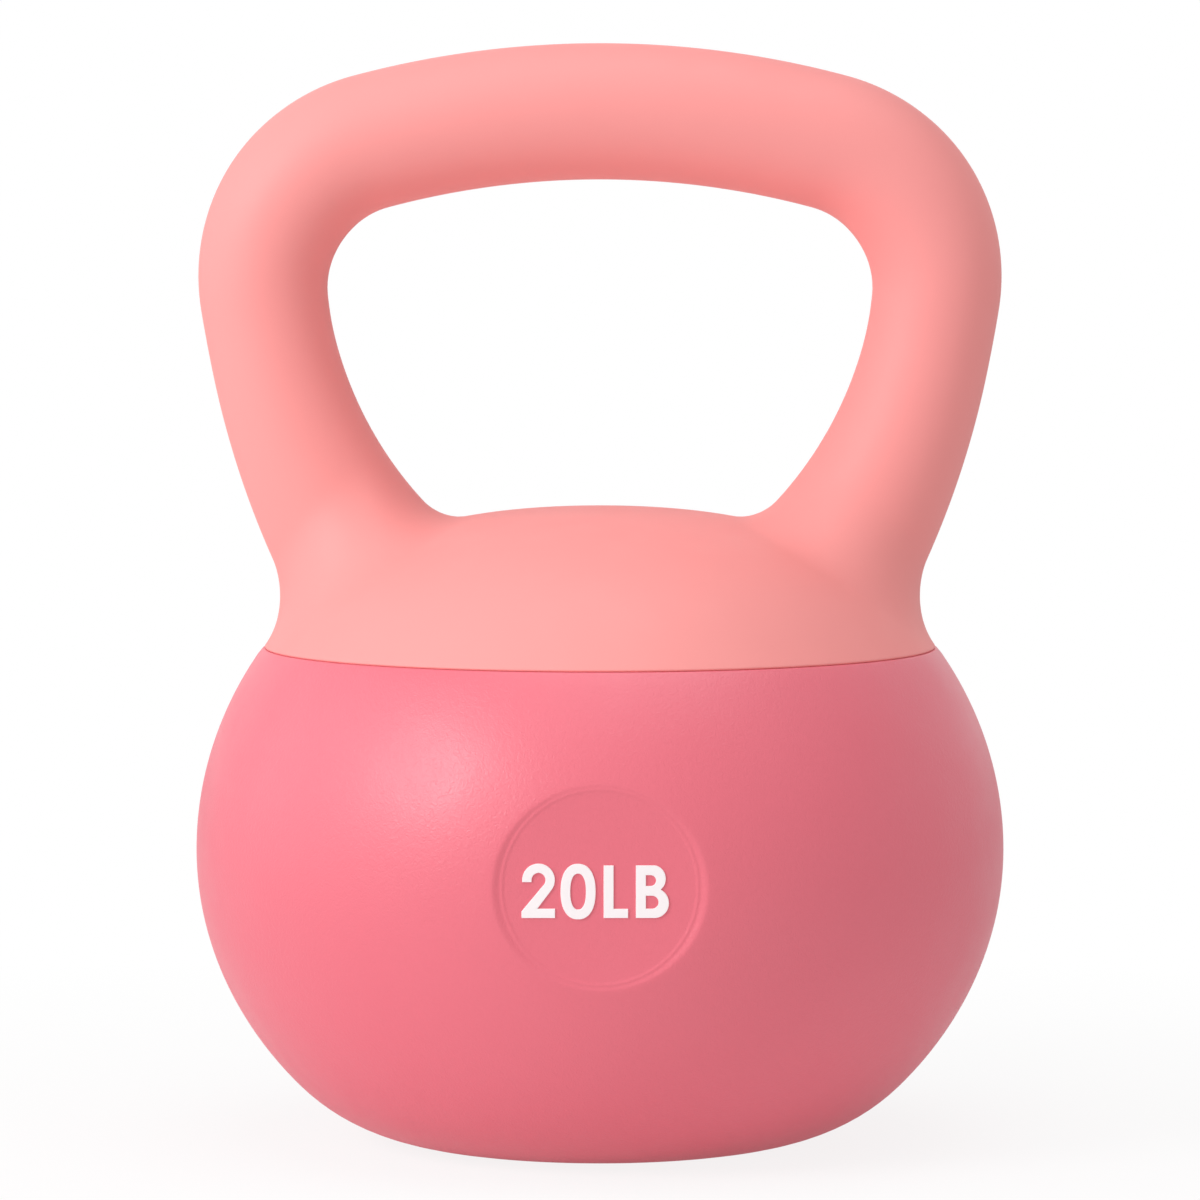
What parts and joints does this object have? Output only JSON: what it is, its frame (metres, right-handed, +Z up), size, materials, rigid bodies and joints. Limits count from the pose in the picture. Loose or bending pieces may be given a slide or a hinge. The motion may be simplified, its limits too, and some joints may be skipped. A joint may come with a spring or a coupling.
{
  "type": "kettlebell",
  "caption": "Soft vinyl kettlebell: a sand-filled ball on a flat foot under a moulded dome and loop handle with a bent steel tube core, clamped to the ball by a plate at the seam.",
  "frame": {"origin": "on the floor, under the middle of the ball's flat foot", "axes": "+Z up through the middle of the handle's bar, X across the handle's loop, the marked side of the ball faces -Y"},
  "size_m": [0.19, 0.187, 0.2574],
  "materials": {
    "handle_vinyl": "satin",
    "ball_vinyl": "satin",
    "bung_vinyl": "matte",
    "steel": "satin",
    "gasket_rubber": "matte",
    "sand": "matte"
  },
  "bodies": {
    "root": {"handle_cover": "handle_vinyl", "handle_tube": "steel", "tube_end_plugs": "steel", "anchor_plate": "steel", "neck_gasket": "gasket_rubber", "anchor_washers": "steel", "anchor_bolts": "steel", "clamp_screws": "steel", "lower_shell": "ball_vinyl", "fill_plug": "bung_vinyl", "iron_sand": "sand"}
  },
  "joints": []
}
